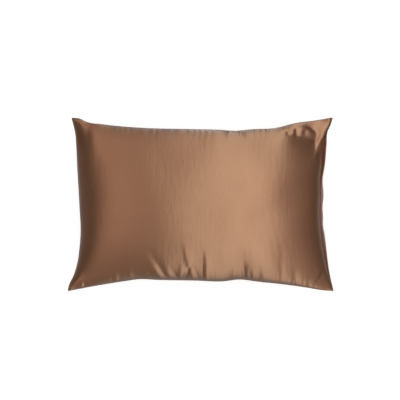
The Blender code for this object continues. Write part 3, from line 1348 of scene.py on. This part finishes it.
def panel_light(table, lean, fades, upwards):
    """Brightness of one panel: its table's value at the lean, less a share for each fade."""
    light = np.interp(lean, *np.array(table).T)
    for share, side, start, end in fades:
        light = light * (1 - eased(side * upwards, share, start, end))
    return light


def tent_brightness(direction):
    """Brightness of the light tent in a direction.

    A face seen from straight above mirrors that direction where it leans by
    atan(x / (1 + z)) to the right and atan(y / (1 + z)) upwards, so the panels are
    given by those two leans and lie as straight bands along the case.
    """
    x, y, z = np.moveaxis(direction, -1, 0)
    right = np.degrees(np.arctan2(x, 1 + z))
    upwards = np.degrees(np.arctan2(y, 1 + z))
    gleam = smooth_step(right, *GLEAM_COMES) * (1 - smooth_step(right, *GLEAM_GOES))
    slanted = right - upwards * eased(-right, FILL_SLANT, *FILL_SLANT_LEANS)
    fill_light = panel_light(FILL_PANEL, slanted, FILL_FADES, upwards)
    key_light = panel_light(KEY_PANEL, right, KEY_FADES, upwards)
    key_light = key_light * (1 + gleam * eased(upwards, *GLEAM_RISE))
    side_light = panel_light(SIDE_PANEL, right, SIDE_FADES, upwards)
    panels = fill_light[..., None] * FILL_COLOUR + key_light[..., None] * KEY_COLOUR
    panels = panels + side_light[..., None] * SIDE_COLOUR

    middle = 1 - smooth_step(np.abs(upwards), *MIDDLE_LEANS)
    low = smooth_step(-z, *LOW_FROM) * (1 - gleam * eased(upwards, *GLEAM_CLEARS))
    low = np.maximum(low, middle * eased(-right, *LOW_AT_LEFT))[..., None]
    dimmed = eased(np.abs(right), *DIM_AT_SIDES) * (1 - middle)
    dimmed = np.maximum(dimmed, eased(-upwards, *DIM_AT_BOTTOM))[..., None]
    return (TENT_DARK + panels) * (1 - low) + low * (1 - dimmed) * TENT_LOW


def add_tent():
    """The light tent: a sphere that only the satin's sheen sees, lit in three long panels."""
    turn, tilt = np.meshgrid(
        np.linspace(0, 2 * math.pi, TENT_CELLS[0] + 1),
        np.linspace(TENT_POLE, math.pi - TENT_POLE, TENT_CELLS[1] + 1),
        indexing="ij",
    )
    direction = np.stack(
        (np.cos(turn) * np.sin(tilt), np.sin(turn) * np.sin(tilt), np.cos(tilt)), -1
    )
    nodes = Nodes("tent_cloth")
    glow = nodes.add("ShaderNodeAttribute", {"attribute_name": "glow"})
    nodes.feed(
        nodes.shader,
        {
            "Base Color": (0.0, 0.0, 0.0, 1.0),
            "Specular IOR Level": 0.0,
            "Emission Color": glow.outputs["Color"],
            "Emission Strength": 1.0,
        },
    )
    index = grid_index(direction.shape)
    tent = add_stage(
        "light_tent",
        (direction * TENT_RADIUS).reshape(-1, 3),
        grid_faces(index, upward=False),
        nodes.material,
    )
    glow = np.ones((index.size, 4))
    glow[:, :3] = tent_brightness(direction).reshape(-1, 3)
    attribute = tent.data.attributes.new("glow", "FLOAT_COLOR", "POINT")
    attribute.data.foreach_set("color", glow.astype(np.float32).ravel())
    for sight in ("camera", "diffuse", "shadow", "transmission", "volume_scatter"):
        setattr(tent, "visible_" + sight, False)


class PILLOWCASE_OT_stage(Operator):
    """Build the stage: pale floor and room, light tent and camera"""

    bl_idname = "pillowcase.stage"
    bl_label = "Stage"

    def execute(self, context):
        scene = context.scene
        stage = scene.pillowcase_stage
        material = floor_material("pale_floor", stage.floor_glow)
        floor = add_stage("floor", *square(FLOOR_HALF, FLOOR_HEIGHT), material)
        floor.visible_glossy = False
        add_tent()

        world = bpy.data.worlds.new("pale_room")
        world.use_nodes = True
        room = world.node_tree.nodes["Background"]
        room.inputs["Color"].default_value = (1.0, 1.0, 1.0, 1.0)
        room.inputs["Strength"].default_value = stage.room
        scene.world = world

        lens = bpy.data.cameras.new("camera")
        lens.sensor_width = SENSOR_WIDTH
        lens.lens = SENSOR_WIDTH * stage.distance / stage.width
        camera = bpy.data.objects.new("camera", lens)
        camera.location = (*VIEW_CENTRE[:2], VIEW_CENTRE[2] + stage.distance)
        scene.collection.objects.link(camera)
        scene.camera = camera
        scene.view_settings.view_transform = "Standard"
        return {"FINISHED"}


class PILLOWCASE_PT_sidebar(Panel):
    """Sizes, finish and steps of the pillowcase"""

    bl_label = "Satin pillowcase"
    bl_idname = "PILLOWCASE_PT_sidebar"
    bl_space_type = "VIEW_3D"
    bl_region_type = "UI"
    bl_category = "Pillowcase"

    def draw(self, context):
        layout = self.layout
        scene = context.scene
        groups = (scene.pillowcase_sizes, scene.pillowcase_finish, scene.pillowcase_stage)
        for group in groups:
            box = layout.box()
            for name in group.__annotations__:
                box.prop(group, name)
        for step in STEPS:
            layout.operator(step.bl_idname)


STEPS = (
    PILLOWCASE_OT_front_panel,
    PILLOWCASE_OT_back_panel,
    PILLOWCASE_OT_hem_stitches,
    PILLOWCASE_OT_stage,
)
CLASSES = (CaseSizes, SatinFinish, StageSizes, *STEPS, PILLOWCASE_PT_sidebar)


def register():
    for kind in CLASSES:
        bpy.utils.register_class(kind)
    bpy.types.Scene.pillowcase_sizes = PointerProperty(type=CaseSizes)
    bpy.types.Scene.pillowcase_finish = PointerProperty(type=SatinFinish)
    bpy.types.Scene.pillowcase_stage = PointerProperty(type=StageSizes)


def unregister():
    del bpy.types.Scene.pillowcase_stage
    del bpy.types.Scene.pillowcase_finish
    del bpy.types.Scene.pillowcase_sizes
    for kind in reversed(CLASSES):
        bpy.utils.unregister_class(kind)


def main():
    register()
    bpy.ops.pillowcase.front_panel()
    bpy.ops.pillowcase.back_panel()
    bpy.ops.pillowcase.hem_stitches()
    bpy.ops.pillowcase.stage()


if __name__ == "__main__":
    main()
